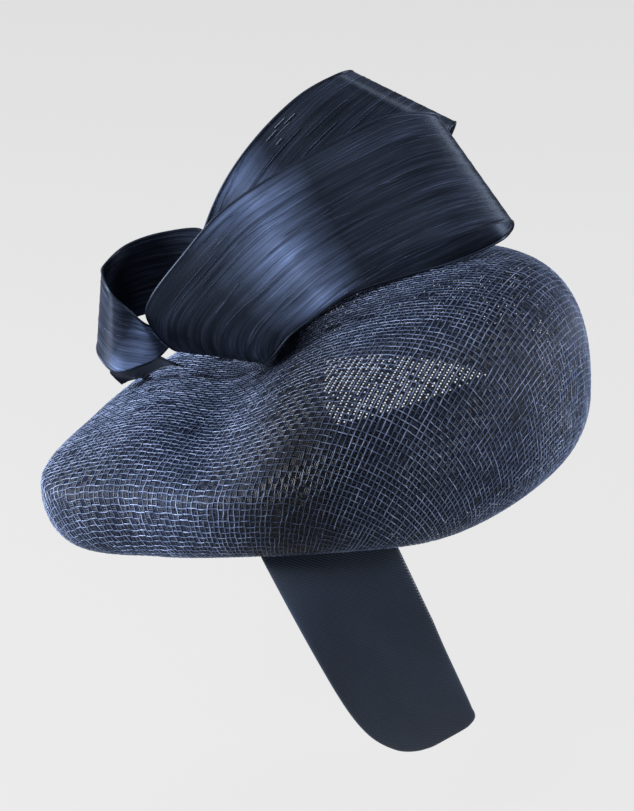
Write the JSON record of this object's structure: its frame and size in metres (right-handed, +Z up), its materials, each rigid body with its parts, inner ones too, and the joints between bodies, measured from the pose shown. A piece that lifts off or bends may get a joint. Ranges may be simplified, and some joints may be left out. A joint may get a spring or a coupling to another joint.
{
  "type": "percher pillbox hat with ribbon loops on a headband",
  "caption": "Perched pillbox hat: a hollow two-lobed straw crown with ribbon loops, carried by a wide covered headband.",
  "frame": {"origin": "middle of the headband arch's underside, where the top of the head touches it", "axes": "+Z up from the head, the wearer faces -X, -Y is the wearer's left side"},
  "size_m": [0.206, 0.1763, 0.2428],
  "materials": {
    "straw": "woven",
    "satin": "satin",
    "ribbon": "glossy fibre"
  },
  "bodies": {
    "root": {"crown": "straw", "headband": "satin", "large_loop": "ribbon", "upper_loop": "ribbon", "small_loop": "ribbon", "ribbon_tail": "ribbon"}
  },
  "joints": []
}
